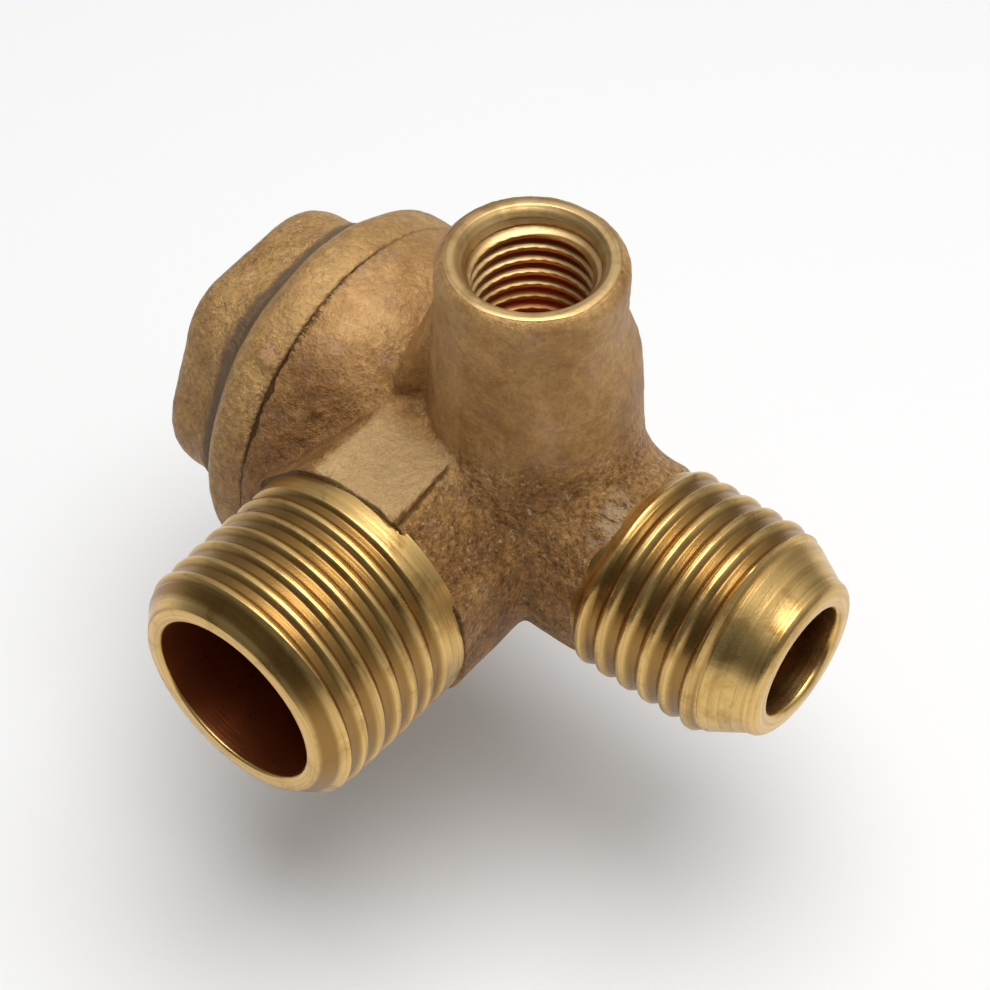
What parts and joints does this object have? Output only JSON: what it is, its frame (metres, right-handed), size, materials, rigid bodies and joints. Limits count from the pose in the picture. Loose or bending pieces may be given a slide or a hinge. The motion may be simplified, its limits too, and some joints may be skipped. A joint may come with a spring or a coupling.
{
  "type": "compressor non-return valve",
  "caption": "Brass non-return valve for an air compressor: taper-threaded outlet, flare inlet, tapped unloader port and a hexagonal end cap over a sprung piston.",
  "frame": {"origin": "on the outlet's axis, at the shoulder behind the outlet's thread", "axes": "-Y out of the outlet, +X out of the inlet, +Z out of the unloader port. The picture's own stand: unloader port up, outlet and inlet level"},
  "size_m": [0.0555, 0.0455, 0.0418],
  "materials": {
    "cast_brass": "rough cast, golden where it is turned or threaded",
    "turned_brass": "fine turned",
    "seal_rubber": "matt black",
    "spring_steel": "drawn wire"
  },
  "bodies": {
    "housing": {"valve_body": "cast_brass", "end_cap": "cast_brass", "cap_seal_ring": "seal_rubber", "valve_spring": "spring_steel"},
    "piston": {"valve_piston": "turned_brass", "seat_disc": "seal_rubber"}
  },
  "joints": [
    {"name": "valve_lift", "type": "slide", "parent": "housing", "child": "piston", "axis": [-1, 0, 0], "range_m": [0, 0.0027], "stiffness_N_per_m": 150, "springref_m": -0.008, "deforming": ["valve_spring"]}
  ]
}
